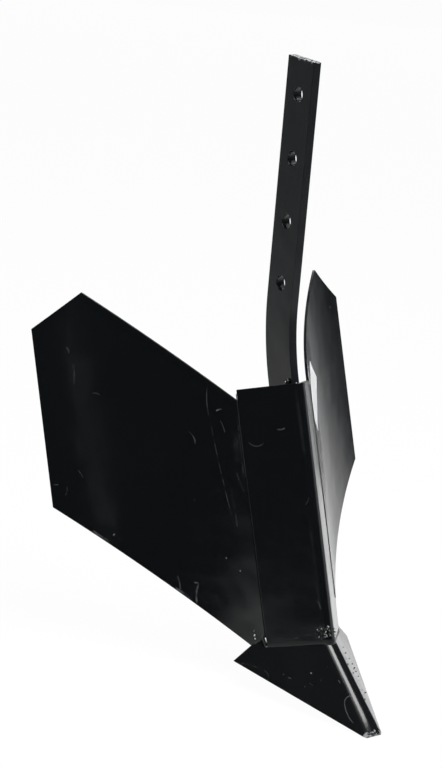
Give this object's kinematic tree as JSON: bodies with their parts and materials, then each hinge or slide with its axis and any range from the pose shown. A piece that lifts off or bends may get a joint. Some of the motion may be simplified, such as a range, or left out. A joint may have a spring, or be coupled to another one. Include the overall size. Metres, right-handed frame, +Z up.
{
  "type": "ridging plough",
  "caption": "Welded ridging plough for a tiller: a drilled flat-bar shank carries a folded breast, rolled wings that throw soil to both sides and a V-shaped share.",
  "frame": {"origin": "centre of the shank's uppermost hole, in the middle of the bar's thickness", "axes": "+X forward, towards the nose of the share; +Y to the plough's left, across the bar and along the hole; +Z up along the straight part of the shank"},
  "size_m": [0.273, 0.2656, 0.4279],
  "materials": {
    "shank_paint": "semi-gloss black paint on drawn flat bar, chipped at the cut end",
    "sheet_paint": "gloss black paint on cold-formed sheet, with fine rub marks",
    "share_paint": "gloss black paint on folded plate, worn at the nose",
    "weld_paint": "gloss black paint over rippled weld beads",
    "label_white": "blank white sticker"
  },
  "bodies": {
    "root": {"shank": "shank_paint", "breast": "sheet_paint", "wing_left": "sheet_paint", "wing_right": "sheet_paint", "share": "share_paint", "weld_share": "weld_paint", "weld_wing_left": "weld_paint", "weld_wing_right": "weld_paint", "weld_shank_left": "weld_paint", "weld_shank_right": "weld_paint"}
  },
  "joints": []
}
